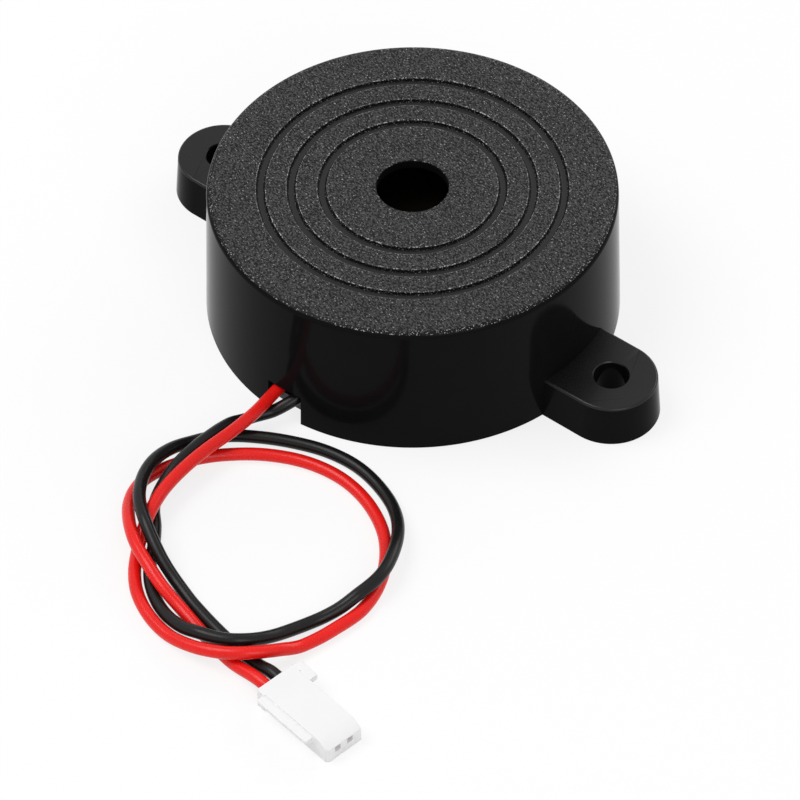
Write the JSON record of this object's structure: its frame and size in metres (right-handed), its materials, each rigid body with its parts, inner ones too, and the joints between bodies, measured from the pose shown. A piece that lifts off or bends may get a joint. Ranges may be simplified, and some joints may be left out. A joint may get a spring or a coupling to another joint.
{
  "type": "piezo buzzer",
  "caption": "Round moulded piezo buzzer with screw ears on opposite sides, a central sound hole in a face with ring grooves, and a looped lead pair ending in a small crimp plug.",
  "frame": {"origin": "middle of the housing's base, on the surface that it is screwed to", "axes": "+Z out of the face with the sound hole, +X through the screw ears, -Y towards the notch where the leads leave"},
  "size_m": [0.0622, 0.0741, 0.0156],
  "materials": {
    "housing": "moulded black, fine texture on the front",
    "cover": "moulded black, satin",
    "diaphragm": "rolled sheet",
    "piezo_ceramic": "fired, matt",
    "silver_film": "fired silver",
    "adhesive": "cured bead",
    "laminate": "coated laminate",
    "moulded_body": "moulded, matt",
    "tinned": "tinned",
    "ferrite": "sintered, matt",
    "copper_wire": "enamelled winding wire",
    "resistor_paint": "lacquered",
    "diode_glass": "glass body, amber",
    "red_wire": "soft insulation, satin",
    "black_wire": "soft insulation, satin",
    "blue_wire": "soft insulation, satin",
    "solder": "bright solder",
    "plug_nylon": "natural moulded nylon"
  },
  "bodies": {
    "root": {"housing": "housing", "back_cover": "cover", "diaphragm": "diaphragm", "ceramic_disc": "piezo_ceramic", "electrodes": "silver_film", "adhesive_ring": "adhesive", "circuit_board": "laminate", "transistor": "moulded_body", "transistor_legs": "tinned", "choke_core": "ferrite", "choke_winding": "copper_wire", "choke_pins": "tinned", "resistors": "resistor_paint", "resistor_leads": "tinned", "diode": "diode_glass", "diode_leads": "tinned", "drive_wire": "red_wire", "feedback_wire": "blue_wire", "ground_wire": "black_wire", "disc_solder": "solder", "board_solder": "solder", "red_lead": "red_wire", "black_lead": "black_wire", "plug_housing": "plug_nylon", "plug_contacts": "tinned"}
  },
  "joints": []
}
